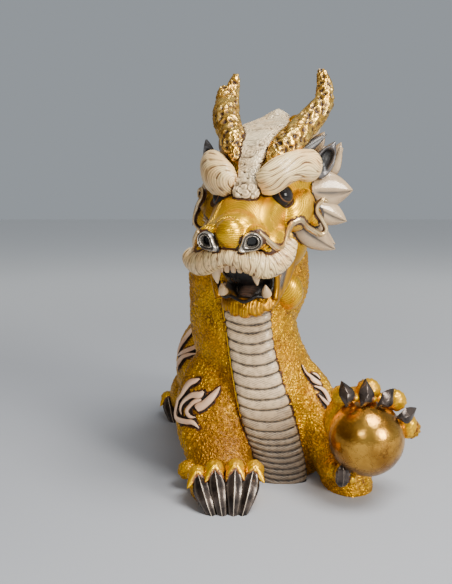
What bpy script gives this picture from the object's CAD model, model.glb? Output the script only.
"""A seated dragon in cast, glazed ceramic with a gilt ball in its raised paw.

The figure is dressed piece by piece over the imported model. All forms below are in
millimetres, in the model's frame: X to the viewer's right, the chest faces -Y, Z up.
"""
import itertools
import math

import bpy
import numpy as np
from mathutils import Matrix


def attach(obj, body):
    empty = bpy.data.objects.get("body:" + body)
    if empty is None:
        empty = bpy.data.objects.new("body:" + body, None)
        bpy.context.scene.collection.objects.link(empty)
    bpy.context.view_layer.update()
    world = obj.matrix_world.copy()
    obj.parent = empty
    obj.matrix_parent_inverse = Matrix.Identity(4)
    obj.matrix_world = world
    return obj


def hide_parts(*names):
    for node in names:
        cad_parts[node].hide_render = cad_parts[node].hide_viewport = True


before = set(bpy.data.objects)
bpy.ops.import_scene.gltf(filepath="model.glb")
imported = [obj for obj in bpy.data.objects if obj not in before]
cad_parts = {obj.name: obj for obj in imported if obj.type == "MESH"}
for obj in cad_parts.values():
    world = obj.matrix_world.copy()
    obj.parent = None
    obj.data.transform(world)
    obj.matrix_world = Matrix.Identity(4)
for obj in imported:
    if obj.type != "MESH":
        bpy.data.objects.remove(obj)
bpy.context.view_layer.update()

# The studio: a plain pale floor, soft lights from above and from the right front, a weak
# one from the left, and the camera at the height of the dragon's head, looking slightly down.
scene = bpy.context.scene
camera = bpy.data.objects.new("camera", bpy.data.cameras.new("camera"))
scene.collection.objects.link(camera)
camera.location = (-0.036, -0.62, 0.24)
camera.rotation_euler = (math.radians(82), 0, 0)
camera.data.sensor_width = 36
camera.data.lens = 43.15
scene.camera = camera

scene.world = bpy.data.worlds.new("room")
scene.world.use_nodes = True
MIDDLE = np.array((0, 0, 0.15))


def soft_light(name, place, size, watts, colour):
    """A square soft light at place that faces the middle of the figure."""
    light = bpy.data.lights.new(name, "AREA")
    light.size, light.energy, light.color = size, watts, colour
    lamp = bpy.data.objects.new(name, light)
    scene.collection.objects.link(lamp)
    lamp.location = place
    run = MIDDLE - place
    lamp.rotation_euler = (math.acos(-run[2] / np.linalg.norm(run)), 0, math.atan2(run[1], run[0]) - math.pi / 2)


soft_light("top", (0.40, -0.50, 1.25), 0.60, 25, (1.0, 0.98, 0.94))
soft_light("right", (0.95, -1.05, 0.62), 0.45, 23, (1.0, 0.97, 0.90))
soft_light("front", (-0.42, -1.15, 0.70), 0.30, 2, (1.0, 0.98, 0.96))


class Flow:
    """A shader socket that takes part in Python sums; each sum adds a Math node."""

    def __init__(self, glaze, socket):
        self.glaze, self.socket = glaze, socket

    def sum(self, how, *others):
        return self.glaze.put("ShaderNodeMath", {"operation": how}, {i: v for i, v in enumerate((self, *others))})

    def __add__(self, other):
        return self.sum("ADD", other)

    def __sub__(self, other):
        return self.sum("SUBTRACT", other)

    def __rsub__(self, other):
        return self.glaze.put("ShaderNodeMath", {"operation": "SUBTRACT"}, {0: other, 1: self})

    def __mul__(self, other):
        return self.sum("MULTIPLY", other)

    def clamped(self):
        return self.glaze.put("ShaderNodeClamp", {}, {0: self})

    def step(self, low, high):
        """0 below low, 1 above high and a smooth rise between them."""
        return self.glaze.put("ShaderNodeMapRange", {"interpolation_type": "SMOOTHSTEP"}, {0: self, 1: low, 2: high})

    def part(self, number):
        """The X, Y or Z of a flow that carries a place."""
        return self.glaze.put("ShaderNodeSeparateXYZ", {}, {0: self}, number)

    __radd__, __rmul__ = __add__, __mul__


class Glaze:
    """A material built node by node round one Principled shader."""

    def __init__(self, name, tree=None, **plain):
        if tree:
            self.tree = tree
            return
        plain.setdefault("Specular_IOR_Level", 0.4)
        self.material = bpy.data.materials.new(name)
        self.material.use_nodes = True
        self.tree = self.material.node_tree
        self.shader = self.tree.nodes["Principled BSDF"]
        for socket, value in plain.items():
            self.wire(self.shader.inputs[socket.replace("_", " ")], value)

    def wire(self, socket, value):
        """Set a socket to a plain value, or link a flow to it."""
        if isinstance(value, Flow):
            self.tree.links.new(value.socket, socket)
        else:
            socket.default_value = (*value, 1) if isinstance(value, tuple) and socket.type == "RGBA" else value

    def put(self, kind, settings, sockets, out=0):
        """Add a node of a kind, with its settings and its sockets' values or links."""
        node = self.tree.nodes.new(kind)
        for setting, value in settings.items():
            setattr(node, setting, value)
        for socket, value in sockets.items():
            self.wire(node.inputs[socket], value)
        return Flow(self, node.outputs[out])

    def mark(self, name):
        """A number that the mesh carries at each point."""
        return self.put("ShaderNodeAttribute", {"attribute_name": name}, {}, "Fac")

    def place(self, name=None):
        """Position on the piece, or in the straightened space that a mesh attribute gives."""
        if name:
            return self.put("ShaderNodeAttribute", {"attribute_name": name}, {}, "Vector")
        return self.put("ShaderNodeTexCoord", {}, {}, "Object")

    def noise(self, scale, detail=3.0, rough=0.55):
        return self.put("ShaderNodeTexNoise", {}, {"Vector": self.place(), "Scale": scale,
                                                   "Detail": detail, "Roughness": rough})

    def stirred(self, scale, reach):
        """Position on the piece, shifted along each axis by noise times reach."""
        swirl = self.put("ShaderNodeTexNoise", {}, {"Vector": self.place(), "Scale": scale}, "Color")
        swirl = self.put("ShaderNodeVectorMath", {"operation": "SCALE"}, {0: swirl, "Scale": reach})
        return self.put("ShaderNodeVectorMath", {"operation": "ADD"}, {0: self.place(), 1: swirl})

    def cell_edge(self, scale, where):
        """Distance to the edge of the nearest of many cells."""
        return self.put("ShaderNodeTexVoronoi", {"feature": "DISTANCE_TO_EDGE"}, {"Vector": where, "Scale": scale})

    def mix(self, share, low, high):
        """Colour low where share is 0 and colour high where it is 1."""
        return self.put("ShaderNodeMix", {"data_type": "RGBA"}, {0: share, 6: low, 7: high}, 2)

    def finish(self, **varying):
        """Link what varies over the surface; height goes through a Bump node."""
        height, depth = varying.pop("height", None), varying.pop("depth", 0.0005)
        if height is not None:
            varying["Normal"] = self.put("ShaderNodeBump", {}, {"Strength": 1.0, "Distance": depth, "Height": height})
        for socket, value in varying.items():
            self.wire(self.shader.inputs[socket.replace("_", " ")], value)
        return self.material


# The room itself is even behind the figure, dim and warm on its left and brighter on its right.
room = Glaze("room", scene.world.node_tree)
side = room.put("ShaderNodeTexCoord", {}, {}, "Generated").part(0)
left = (0 - side).step(0.3, 0.85)
backdrop = scene.world.node_tree.nodes["Background"].inputs
room.wire(backdrop["Color"], room.mix(left, (0.84, 0.92, 1.0), (1.0, 0.74, 0.48)))
room.wire(backdrop["Strength"], 0.37 - left * 0.20 + side.step(0.35, 0.9) * 0.2)

# NECK AND CHEST. One upright column from the seat to the throat, cast in clay, stippled
# all over with a small round tool and fired with gold lustre over a brown glaze, which
# stays dark in the stipple. The shoulders of the legs are joined on before casting.
NECK = [
    (6, 2, -8, 50, 53), (4, 0, 14, 54, 57), (2, 0, 34, 55, 59), (-1, 0, 57, 53, 58),
    (-8, 0, 80, 49, 57), (-15, 1, 101, 47, 55), (-20, 2, 126, 47.5, 52), (-19, 4, 143, 50, 52),
    (-16, 4, 162, 53.5, 53), (-14, -2, 184, 51.5, 50), (-10, -14, 208, 45, 46), (-5, -28, 232, 38, 40),
]
MM = 0.001
X_WAY, Y_WAY, Z_WAY = np.eye(3)


def unit(vectors):
    """Each vector divided by its length."""
    return vectors / np.maximum(np.linalg.norm(vectors, axis=-1, keepdims=True), 1e-9)


def step(values, low, high):
    """0 below low, 1 above high, 3t^2 - 2t^3 between them."""
    t = np.clip((values - low) / (high - low), 0, 1)
    return t * t * (3 - 2 * t)


def ridge(phase):
    """A smooth wave from 0 at whole numbers to 1 half way between them."""
    return 0.5 - 0.5 * np.cos(2 * np.pi * phase)


def run_through(rows, steps):
    """Rows of numbers joined by a Catmull-Rom curve, steps rows to a span."""
    rows = np.array(rows, float)
    padded = np.vstack([rows[:1], rows, rows[-1:]])[:, None]
    b, s, e, a = padded[:-3], padded[1:-2], padded[2:-1], padded[3:]
    t = (np.arange(steps) / steps)[None, :, None]
    curve = 0.5 * (2 * s + (e - b) * t + (2 * b - 5 * s + 4 * e - a) * t ** 2 + (3 * s - b - 3 * e + a) * t ** 3)
    return np.vstack([curve.reshape(-1, rows.shape[1]), rows[-1:]])


def turns(sides):
    """Equal turns of a circle, unless they are given."""
    return np.asarray(sides) if np.ndim(sides) else np.linspace(0, 2 * np.pi, sides, endpoint=False)


def carry(rows, side, steps=6, sides=40, power=2.0):
    """A closed profile carried along a path.

    A row is x, y, z, half width along side, half depth across it; on a round form every row
    leaves the depth out. Each ring is a superellipse: cosine and sine of the turn, raised to
    2 / power, times the half width and half depth, laid square to the path. side is one
    direction or one for each row, sides a number of equal turns or the turns themselves.
    """
    path = run_through(rows, steps)
    side = run_through(side, steps) if np.ndim(side) > 1 else np.broadcast_to(side, path[:, :3].shape)
    centre, sizes = path[:, :3], np.maximum(path[:, [3, -1]], 0.25)
    run = unit(np.gradient(centre, axis=0))
    across = unit(side - run * (run * side).sum(1, keepdims=True))
    deep = np.cross(run, across)
    turn = turns(sides)
    wide, thick = (np.sign(f) * np.abs(f) ** (2 / power) for f in (np.cos(turn), np.sin(turn)))
    return (centre[:, None] + across[:, None] * wide[:, None] * sizes[:, None, :1]
            + deep[:, None] * thick[:, None] * sizes[:, None, 1:])


def egg(centre, radii, rows=24, columns=32):
    """Points of an egg: angle up from its waist along the rows, angle round it along the columns."""
    up = np.linspace(-np.pi / 2, np.pi / 2, rows + 2)[1:-1, None]
    round_ = np.linspace(0, 2 * np.pi, columns, endpoint=False)
    ball = np.stack([np.cos(up) * np.cos(round_), np.cos(up) * np.sin(round_), np.sin(up) + 0 * round_], -1)
    return np.array(centre) + ball * radii


def surface(grid, around=True, ends=True, **marks):
    """Faces over a grid of points, with a map and what each point is marked with.

    around joins the last column to the first; ends closes the first and last rows to a
    point each. Faces turn outwards where columns run anticlockwise seen against the rows.
    """
    rows, columns = grid.shape[:2]
    number = np.arange(rows * columns).reshape(rows, columns)
    here = number if around else number[:, :-1]
    after = np.roll(number, -1, 1) if around else number[:, 1:]
    corners = np.stack([here[:-1], after[:-1], after[1:], here[1:]], -1).reshape(-1, 4)
    totals = np.full(len(corners), 4)
    across = np.arange(here.shape[1])[None] + 0 * here[:-1]
    along = np.arange(rows - 1)[:, None] + 0 * here[:-1]
    chart = np.stack([across, along, across + 1, along, across + 1, along + 1, across, along + 1], -1).reshape(-1, 2)
    chart = chart / (here.shape[1], rows - 1)
    points = grid.reshape(-1, 3)
    marks = {name: mark if np.ndim(mark) == 3 else np.broadcast_to(mark, (rows, columns))
             for name, mark in marks.items()}
    marks = {name: mark.reshape(len(points), -1) for name, mark in marks.items()}
    corners = corners.ravel()
    if ends:
        for ring, low in ((number[0], True), (number[-1], False)):
            pole = np.full(columns, len(points))
            fan = (pole, np.roll(ring, -1), ring) if low else (pole, ring, np.roll(ring, -1))
            corners = np.concatenate([corners, np.stack(fan, -1).ravel()])
            totals = np.concatenate([totals, np.full(columns, 3)])
            spot = np.arange(columns) / columns
            edge = 0.0 if low else 1.0
            fan_chart = np.stack([spot, edge + 0 * spot, spot, edge + 0 * spot, spot, edge + 0 * spot], -1)
            chart = np.vstack([chart, fan_chart.reshape(-1, 2)])
            points = np.vstack([points, points[ring].mean(0)])
            marks = {name: np.vstack([mark, mark[ring].mean(0)]) for name, mark in marks.items()}
    return {"points": points, "corners": corners, "totals": totals, "chart": chart, "marks": marks}


def fill_mesh(name, surfaces):
    """One mesh from several surfaces, in metres."""
    mesh = bpy.data.meshes.new(name)
    starts = np.cumsum([0] + [len(s["points"]) for s in surfaces])
    points = np.vstack([s["points"] for s in surfaces]) * MM
    corners = np.concatenate([s["corners"] + start for s, start in zip(surfaces, starts)])
    totals = np.concatenate([s["totals"] for s in surfaces])
    mesh.vertices.add(len(points))
    mesh.vertices.foreach_set("co", points.ravel())
    mesh.loops.add(len(corners))
    mesh.loops.foreach_set("vertex_index", corners)
    mesh.polygons.add(len(totals))
    mesh.polygons.foreach_set("loop_start", np.cumsum(totals) - totals)
    mesh.polygons.foreach_set("loop_total", totals)
    mesh.update(calc_edges=True)
    if all("chart" in s for s in surfaces):
        chart = mesh.uv_layers.new(name="chart")
        chart.data.foreach_set("uv", np.vstack([s["chart"] for s in surfaces]).ravel())
    for mark in surfaces[0]["marks"]:
        values = np.vstack([s["marks"][mark] for s in surfaces])
        kind, field = ("FLOAT", "value") if values.shape[1] == 1 else ("FLOAT_VECTOR", "vector")
        mesh.attributes.new(mark, kind, "POINT").data.foreach_set(field, values.ravel())
    mesh.validate()
    mesh.shade_smooth()
    return mesh


def piece(name, surfaces, material, node="dragon", crease=None):
    """A finished piece of the figure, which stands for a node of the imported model."""
    mesh = fill_mesh(name, surfaces)
    if crease:
        mesh.set_sharp_from_angle(angle=math.radians(crease))
    mesh.materials.append(material)
    made = bpy.data.objects.new(name, mesh)
    scene.collection.objects.link(made)
    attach(made, "root")
    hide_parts(node)


def cast(grids, grain):
    """Closed forms run together into one skin: a voxel remesh, then the joins softened twice."""
    forms = bpy.data.objects.new("forms", fill_mesh("forms", [surface(grid) for grid in grids]))
    scene.collection.objects.link(forms)
    one = forms.modifiers.new("one", "REMESH")
    one.mode, one.voxel_size = "VOXEL", grain * MM
    soft = forms.modifiers.new("soft", "SMOOTH")
    soft.factor, soft.iterations = 0.5, 2
    skin = forms.evaluated_get(bpy.context.evaluated_depsgraph_get()).to_mesh()
    points, normals = np.empty(len(skin.vertices) * 3), np.empty(len(skin.vertices) * 3)
    corners, totals = np.empty(len(skin.loops), int), np.empty(len(skin.polygons), int)
    skin.vertices.foreach_get("co", points)
    skin.vertex_normals.foreach_get("vector", normals)
    skin.loops.foreach_get("vertex_index", corners)
    skin.polygons.foreach_get("loop_total", totals)
    bpy.data.objects.remove(forms, do_unlink=True)
    return {"points": points.reshape(-1, 3) / MM, "normals": normals.reshape(-1, 3),
            "corners": corners, "totals": totals, "marks": {}}


SCATTER, FOLD = np.array([[127.1, 269.5, 113.5], [311.7, 183.3, 271.9], [74.7, 246.1, 124.6]]), 43758.5453


def cells(points, size, seed=0.0):
    """Distances to the nearest and the second nearest of spots strewn one to a cube of the given size.

    A spot's place in its cube is what is left over from FOLD times the sine of the cube's number times SCATTER.
    """
    place = points / size
    home = np.floor(place)
    nearest, second = np.full(points.shape[:-1], 9.0), np.full(points.shape[:-1], 9.0)
    for shift in itertools.product((-1, 0, 1), repeat=3):
        cube = home + shift
        away = np.linalg.norm(place - cube - np.sin(cube @ SCATTER + seed) * FOLD % 1.0, axis=-1)
        second = np.minimum(second, np.maximum(nearest, away))
        nearest = np.minimum(nearest, away)
    return nearest, second


def jointed(points, size, seed=0.0, low=0.02, high=0.42):
    """1 along the joints between the cells round strewn spots, and the way to the nearest spot."""
    first, second = cells(points, size, seed)
    return 1 - step(second - first, low, high), first


def waves(points, size, seed=0.0):
    """Slow uneven swell between -1 and 1: products of sines that run in crossed directions."""
    a, b, c = np.moveaxis(points / size + seed, -1, 0)
    return (np.sin(a + 1.7 * np.sin(b * 0.7)) * np.sin(b * 1.1 + 1.3 * np.sin(c * 0.8))
            * np.sin(c * 0.9 + 1.5 * np.sin(a * 0.6)))


def stirred(points, reach, size, seed=0.0):
    """Points shifted along each axis by reach times a slow swell of its own."""
    return points + reach * np.stack([waves(points, size, seed + k) for k in range(3)], -1)


def near(points, centre, radii):
    """1 at the centre, falling smoothly to 0 at the given distances from it."""
    return 1 - step(np.linalg.norm((points - np.array(centre)) / np.array(radii), axis=-1), 0.55, 1.0)


def stipple(skin, size, depth, smooth, seed=0.0):
    """Small cells pressed into a skin: it sinks along the joints between them and they stay dark."""
    points = skin["points"]
    joint, first = jointed(stirred(points, 0.5, 2.3, seed), size, seed)
    rough = (1 - smooth) * (0.75 + 0.25 * waves(points, 9, seed))
    lift = depth * (0.45 - joint + 0.8 * (0.5 - first)) * rough
    skin["points"] = points + skin["normals"] * lift[:, None]
    skin["marks"]["dark"] = (joint * rough * (0.36 + 0.5 * waves(points, 6, seed + 5)))[:, None]
    skin["marks"]["smooth"] = smooth[:, None]
    return skin


# The lustre over the brown glaze: a finer stipple in the bump where the mesh isn't marked
# smooth. Thin marks let the brown through, dark marks are brown, and above 1 they are ink.
THIN_GOLD, BROWN, INK = (0.40, 0.175, 0.001), (0.12, 0.030, 0.001), (0.012, 0.007, 0.004)
gold = Glaze("gold_skin", Coat_Weight=0.05, Coat_Roughness=0.2)
matt = 1 - gold.mark("smooth").clamped()
fine = gold.cell_edge(1 / 0.0027, gold.stirred(420.0, 0.0022))
groove = (1 - fine.step(0.0, 0.2)) * matt * gold.noise(230, 2).step(0.3, 0.55)
patch = gold.noise(32, 4).step(0.36, 0.68) * matt
hollow = (gold.mark("dark") * 0.8 + groove * 0.6).clamped()
inked = (gold.mark("dark") - 1).clamped()
base = gold.mix(gold.mark("thin"), gold.mix(patch, (1.0, 0.54, 0.0), (0.78, 0.36, 0.0)), THIN_GOLD)
gold_skin = gold.finish(Base_Color=gold.mix(inked, gold.mix(hollow, base, BROWN), INK),
                        Metallic=(0.88 - hollow * 0.4) * (1 - inked), Roughness=0.27 + patch * 0.08 + hollow * 0.2,
                        height=fine.step(0.0, 0.5) * matt + gold.noise(1500, 2) * 0.1 + gold.noise(260, 2) * 0.5,
                        depth=0.0008)
shoulders = [
    carry([(-30, -4, 108, 13, 15), (-41, -14, 86, 27, 24), (-46, -28, 62, 33, 26), (-46.5, -40, 42, 31.5, 23),
           (-42, -56, 25, 28, 18), (-39, -74, 13, 25, 13)], X_WAY, 8, 48),
    carry([(24, -4, 92, 13, 18), (33, -13, 70, 21.5, 23), (45, -31, 45, 23, 25), (59, -52, 21, 22, 25),
           (65, -63, 4, 20.5, 26), (66, -64, -6, 19, 24)], X_WAY, 8, 48),
    carry([(65, -62, 6, 19, 20), (68, -68, 26, 19, 18), (70, -74, 46, 24, 17), (70, -78, 60, 28, 17),
           (71, -80, 76, 22, 13), (72, -82, 86, 11, 7)], X_WAY, 8, 48),
    egg((-38, -84, 8), (28, 27, 17)), egg((-68, -72, 16), (7.5, 8, 8)),
]
BALL, BALL_RADIUS = np.array((72.2, -100.0, 53.4)), 29.3
GRIP = [(121, 7.0), (86, 7.6), (50, 7.2), (8, 7.2), (232, 7.0)]


def around_ball(degrees, reach, forward):
    """A point round the ball, seen from the front: angle, distance out from its middle, and forwards."""
    angle = math.radians(degrees)
    return BALL + (math.cos(angle) * reach, -forward, math.sin(angle) * reach)


def tangent(degrees):
    """The way round the ball at an angle, seen from the front."""
    angle = math.radians(degrees)
    return np.array((-math.sin(angle), 0, math.cos(angle)))


for degrees, fat in GRIP:
    shoulders.append(carry([(*around_ball(degrees, BALL_RADIUS * 0.72, -24), fat * 0.9, fat * 0.8),
                            (*around_ball(degrees, BALL_RADIUS + 4, -18), fat, fat * 0.8),
                            (*around_ball(degrees, BALL_RADIUS + 7.5, -9), fat * 1.05, fat),
                            (*around_ball(degrees, BALL_RADIUS + 6.5, 0), fat * 0.7, fat * 0.7)],
                           tangent(degrees), 6, 24))
    shoulders.append(egg(around_ball(degrees, BALL_RADIUS + 7, -7), (fat * 1.1,) * 3, 16, 24))


def on_ground(skin):
    """The skin cut level with the ground: what lies below it is brought up to it."""
    skin["points"][:, 2] = np.maximum(skin["points"][:, 2], 0.0)
    return skin


front = cast([carry(NECK, X_WAY, 8, 72)] + shoulders, grain=1.55)
spots = front["points"]
palm, wrist = near(spots, (72, -84, 62), (34, 26, 34)), near(spots, (-42, -66, 22), (34, 34, 24))
front = stipple(front, size=3.8, depth=0.95, smooth=np.clip(palm + wrist * 0.2, 0, 1))
front["marks"]["dark"] = np.maximum(front["marks"]["dark"], 0.4 * near(spots, (-36, -72, 26), (32, 30, 22))[:, None])
front["marks"]["thin"] = (0.9 * near(spots, (-38, -68, 26), (38, 38, 34))
                          + 0.7 * near(spots, (-30, -60, 66), (40, 32, 50)))[:, None]
piece("body_front", [on_ground(front)], gold_skin)


# REAR, HAUNCHES AND TAIL. The seated hind body with its two hind paws, and the tail that
# curls round to the viewer's right: cast with the front and joined to it while soft.
rear = cast([
    carry([(-6, 0, 56, 40, 44), (-14, 42, 62, 44, 48), (-20, 82, 60, 44, 46), (-22, 116, 50, 38, 40),
           (-22, 146, 36, 27, 29)], X_WAY, 10, 64),
    carry([(-22, 120, 42, 34, 32), (-22, 146, 30, 26, 25), (-15, 168, 18, 19, 18), (4, 181, 13, 14, 13),
           (26, 179, 12, 12.5, 12), (44, 167, 11, 10.5, 10), (54, 152, 10.5, 8, 7)], Z_WAY, 8, 40),
    egg((-52, 97, 62), (36, 44, 54), 40, 48), egg((6, 100, 52), (32, 43, 49), 40, 48),
    egg((-72, 112, 26), (24, 34, 30), 30, 40), egg((28, 112, 24), (23, 34, 28), 30, 40),
    egg((-79, 126, 8), (24, 26, 17)), egg((35, 126, 8), (24, 26, 17)),
], grain=1.95)
rear = stipple(rear, size=4.3, depth=0.75, smooth=0 * rear["points"][:, 0], seed=3.0)
piece("body_rear", [on_ground(rear)], gold_skin)


# BELLY. A band of pale plates down the chest: each plate is cut round with a blade,
# hatched with fine slanted strokes, glazed bone white and rubbed with black that stays in
# the cuts. The plates get narrower in height and greyer towards the ground.
BELLY = [
    (13, -55, -8, 20, 9), (11, -54.5, 12, 20.5, 8.5), (3.5, -53.5, 38, 21.5, 7.5), (-3, -52.5, 60, 21.5, 7.5),
    (-9, -51.5, 83, 20, 7.5), (-13.5, -49, 105, 19, 7.5), (-16.6, -45.5, 128, 19, 7.5),
    (-18.8, -43, 150, 19.8, 7.5), (-19.2, -45, 168, 19.5, 7),
]
CUTS = [-2, 2.6, 7.1, 11.9, 16.8, 21.7, 26.5, 31.8, 36.8, 43.9, 52.2, 62, 70.8, 79.7, 90.2, 99.4,
        108.5, 117, 126, 132.3, 139.8, 148, 157, 166, 175]
BEHIND = 6      # turns round the back of the band, which lies inside the chest
across_belly = np.linspace(-1, 1, 91)
belly_turns = np.concatenate([np.linspace(0, np.pi, BEHIND + 2)[1:-1],
                              2 * np.pi - np.arccos(np.sign(across_belly) * np.abs(across_belly) ** 1.3)])
belly = carry(BELLY, X_WAY, 30, belly_turns, 2.6)
v = np.concatenate([np.ones(BEHIND), across_belly])[None, :]
front_only = np.concatenate([np.zeros(BEHIND), np.ones(len(across_belly))])[None, :]


def outward(grid):
    """Directions square to a closed grid: along its columns crossed with along its rows."""
    return unit(np.cross(np.roll(grid, -1, 1) - np.roll(grid, 1, 1), np.gradient(grid, axis=0)))


level = belly[..., 2] - 4.2 * v ** 2 + 0.4 * waves(belly, 7)
count = np.interp(level, CUTS, np.arange(len(CUTS)))
part = count % 1
to_cut = np.minimum(part, 1 - part) * np.interp(level, CUTS, np.gradient(CUTS))
cut = np.exp(-(to_cut / (0.7 + 0.35 * step(level, 45, 80))) ** 2)
edge = step(np.abs(v), 0.945, 0.975)
belly = belly + outward(belly) * (front_only * (0.5 * np.sin(np.pi * part) - 0.35 * part - 0.75 * cut))[..., None]
bone = Glaze("bone_plates", Coat_Weight=0.35, Coat_Roughness=0.15)
chart = bone.place("flat")
low = 1 - chart.part(2).step(14, 78)
slant = chart.part(0) * 1.5 + chart.part(2) * 4.0 + bone.noise(60, 2) * 2.2
hatch = (slant.sum("SINE") * 0.5 + 0.5) * bone.noise(240, 2).step(0.36, 0.62)
dark = (bone.mark("dark") + hatch * (low * 0.2 + 0.50)).clamped()
pale = bone.mix(bone.noise(30, 3).step(0.35, 0.65), (0.74, 0.54, 0.32), (0.56, 0.39, 0.22))
pale = bone.mix(low, pale, (0.19, 0.135, 0.085))
bone.finish(Base_Color=bone.mix(dark, pale, (0.03, 0.022, 0.016)), Roughness=0.38 + dark * 0.2,
            height=1 - hatch * 0.8 + bone.noise(900, 2) * 0.5, depth=0.00028)
half_width = np.interp(belly[..., 2], [row[2] for row in BELLY], [row[3] for row in BELLY])
flat = np.stack([v * half_width, 0 * half_width, belly[..., 2]], -1)
piece("belly_plates", [on_ground(surface(belly, dark=np.clip(cut * 0.95 + edge, 0, 1), flat=flat))], bone.material)


# BALL. A round ball turned in clay and covered with leaf laid in overlapping scraps, worn
# through to the brown ground along their edges. Brown has settled on its lower half.
ball = egg(BALL, (BALL_RADIUS,) * 3, 84, 120)
leaf = Glaze("ball_leaf", Metallic=1.0, Coat_Weight=0.05, Coat_Roughness=0.1)
scrap_edge = 1 - leaf.cell_edge(95, leaf.stirred(130.0, 0.008)).step(0.0, 0.06)
worn = (leaf.noise(46, 6, 0.7).step(0.54, 0.70) * 0.75 + scrap_edge * 0.25).clamped()
leaf_colour = leaf.mix(leaf.noise(34, 4).step(0.38, 0.62), (0.80, 0.42, 0.065), (0.38, 0.175, 0.025))
settled = (1 - (leaf.place().part(2) + leaf.noise(40, 3) * 0.02).step(0.034, 0.078)) * 0.6
leaf.finish(Base_Color=leaf.mix((worn + settled).clamped(), leaf_colour, (0.12, 0.048, 0.010)),
            Roughness=0.20 + worn * 0.25 + settled * 0.15, height=leaf.noise(300, 3), depth=0.00025)
piece("ball", [surface(ball)], leaf.material, "pearl")


# HEAD. Snout, cheeks, skull and throat, cast in one with the neck and turned to the
# viewer's left. The gold here is burnished smooth and cut with fine lines that run across
# the snout and round the eyes. Everything on the head is worked out along its own axes.
HEAD_PLACE = np.array((-9.8, -63.3, 244.0))
yaw, nod = math.radians(21), math.radians(20)
head_right = np.array((math.cos(yaw), -math.sin(yaw), 0))
head_back = np.array((math.sin(yaw) * math.cos(nod), math.cos(yaw) * math.cos(nod), math.sin(nod)))
HEAD_AXES = np.array((head_right, head_back, np.cross(head_right, head_back)))


def on_head(points):
    """Points given along the head's own axes, viewer's right, back and up, in the figure's place."""
    return HEAD_PLACE + np.asarray(points, float) @ HEAD_AXES


def both(make):
    """The same thing made on both sides: 1 is the viewer's right and -1 the left."""
    return [item for hand in (1, -1) for item in make(hand)]


def facing(hand, rows):
    """Rows or points of one side, its first number turned round for the other side."""
    return [(x * hand, *rest) for x, *rest in rows]


NOSTRILS = {1: (18.6, -79.6, -10.4), -1: (-16.0, -79.6, -10.4)}
SNOUT = [
    (1, -81, -12, 8, 6), (1, -76, -12, 17, 10), (0.5, -69, -13, 23.5, 13), (0, -58, -14, 25.5, 16),
    (0, -44, -13, 27, 20.5), (0, -30, -11, 29.5, 21), (0, -14, -9, 33, 25), (0, 10, -6, 40, 33),
]
STRAPS = {1: [(23, -40, -34, 4.5, 5), (21.5, -41, -48, 2.6, 4), (21, -43, -62, 2.6, 4), (20.5, -49, -72, 2.8, 4)],
          -1: [(-29, -38, -32, 5, 5), (-30, -40, -48, 2.6, 4.5), (-30.5, -42, -60, 2.6, 4.5), (-26, -49, -73, 3, 4)]}
forms = [egg((0, 24, 6), (43, 46, 38), 48, 64), carry(SNOUT, X_WAY, 8, 56),
         egg((1.2, -74.2, -6.5), (11, 10.2, 10.4)), egg((1.5, -63, -4.5), (15, 15, 9.5)),
         egg((0, 4, -44), (35, 27, 32), 32, 48), egg((13, 6, -93), (14, 13, 17), 24, 32),
         egg((-42, -5, -9), (8.5, 11, 11)), egg((-48.5, -2, -24), (9, 9.5, 11))]
forms += both(lambda hand: [
    egg((42 * hand, 4, -24), (6, 9, 9), 16, 24), egg((30.5 * hand, -5, -14.5), (13.5, 27, 16)),
    egg((25 * hand, -50, -24), (10, 22, 12)), egg((17.5 * hand + 1, -70.5, -11), (9.5, 9, 8.8)),
    egg((19 * hand, -14, 13), (11, 13, 11)),
    carry(STRAPS[hand], X_WAY, 8, 20)])
head = cast(forms, grain=1.15)
local = head["points"]
x, y, z = local.T
from_eye = np.linalg.norm(np.stack([np.abs(x), y, z], -1) - (27.5, -24, 1), axis=1)
cheek = step(np.abs(x), 15, 24) * step(y, -62, -48)
tip, jowl = step(-y, 64, 71), step(np.linalg.norm(local - (15, 0, -84), axis=1), 30, 26)
lines = (1 - cheek) * (y * 0.9 - z * 0.45 + 0.02 * x ** 2) / 1.5 + cheek * from_eye / 1.8
lines = lines * (1 - tip) + tip * (z + 0.02 * (x - 1.2) ** 2) / 1.5
head["marks"]["lines"] = np.where(jowl > 0.5, np.hypot(x - 9, z + 80) / 1.9, lines)[:, None]
calm = np.maximum(1 - step(np.abs(cheek - 0.5), 0.25, 0.45), 1 - step(np.abs(tip - 0.5), 0.2, 0.45))
head["marks"]["calm"] = np.clip(np.maximum(calm, step(-z, 26, 32)) - 2 * jowl, 0, 1)[:, None]
socket = 1 - step(from_eye, 7.0, 8.4)
for hand, spot in NOSTRILS.items():
    sunk = near(local, spot, (6.5, 6.5, 6.5))
    local = local + sunk[:, None] * 6.0 * unit(np.array((-0.30 * hand, 0.92, -0.22)))
joint = jointed(local, 3.8, 7.0)[0] * step(y, 4, 22)
head["points"] = on_head(local - head["normals"] * (0.55 * joint + 0.8 * socket)[:, None])
head["marks"]["dark"] = np.maximum(np.maximum(0.75 * joint, socket), 0.42 * step(-x, 33, 40))[:, None]
hinge = step(np.abs(x), 15, 19) * step(-z, 30, 42) * (1 - step(-z, 74, 84)) * step(-y, -6, 14)
head["marks"]["thin"] = np.maximum(hinge, 0.55 * step(-x, 0, 20) * step(z, -30, -12) * (1 - step(-y, 44, 62)))[:, None]
face = Glaze("face_gold", Coat_Weight=0.06, Coat_Roughness=0.15)
groove = ((face.mark("lines") + face.noise(150, 2) * 0.5) * (2 * math.pi)).sum("SINE") * 0.5 + 0.5
groove = (groove * (1 - face.mark("calm"))).step(0.5, 1.0)
patch = face.noise(38, 4).step(0.4, 0.7)
mark = face.mark("dark").clamped()
hollow = (mark + groove * 0.30).clamped()
base = face.mix(face.mark("thin"), face.mix(patch, (1.0, 0.55, 0.0), (0.92, 0.48, 0.0)), THIN_GOLD)
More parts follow.
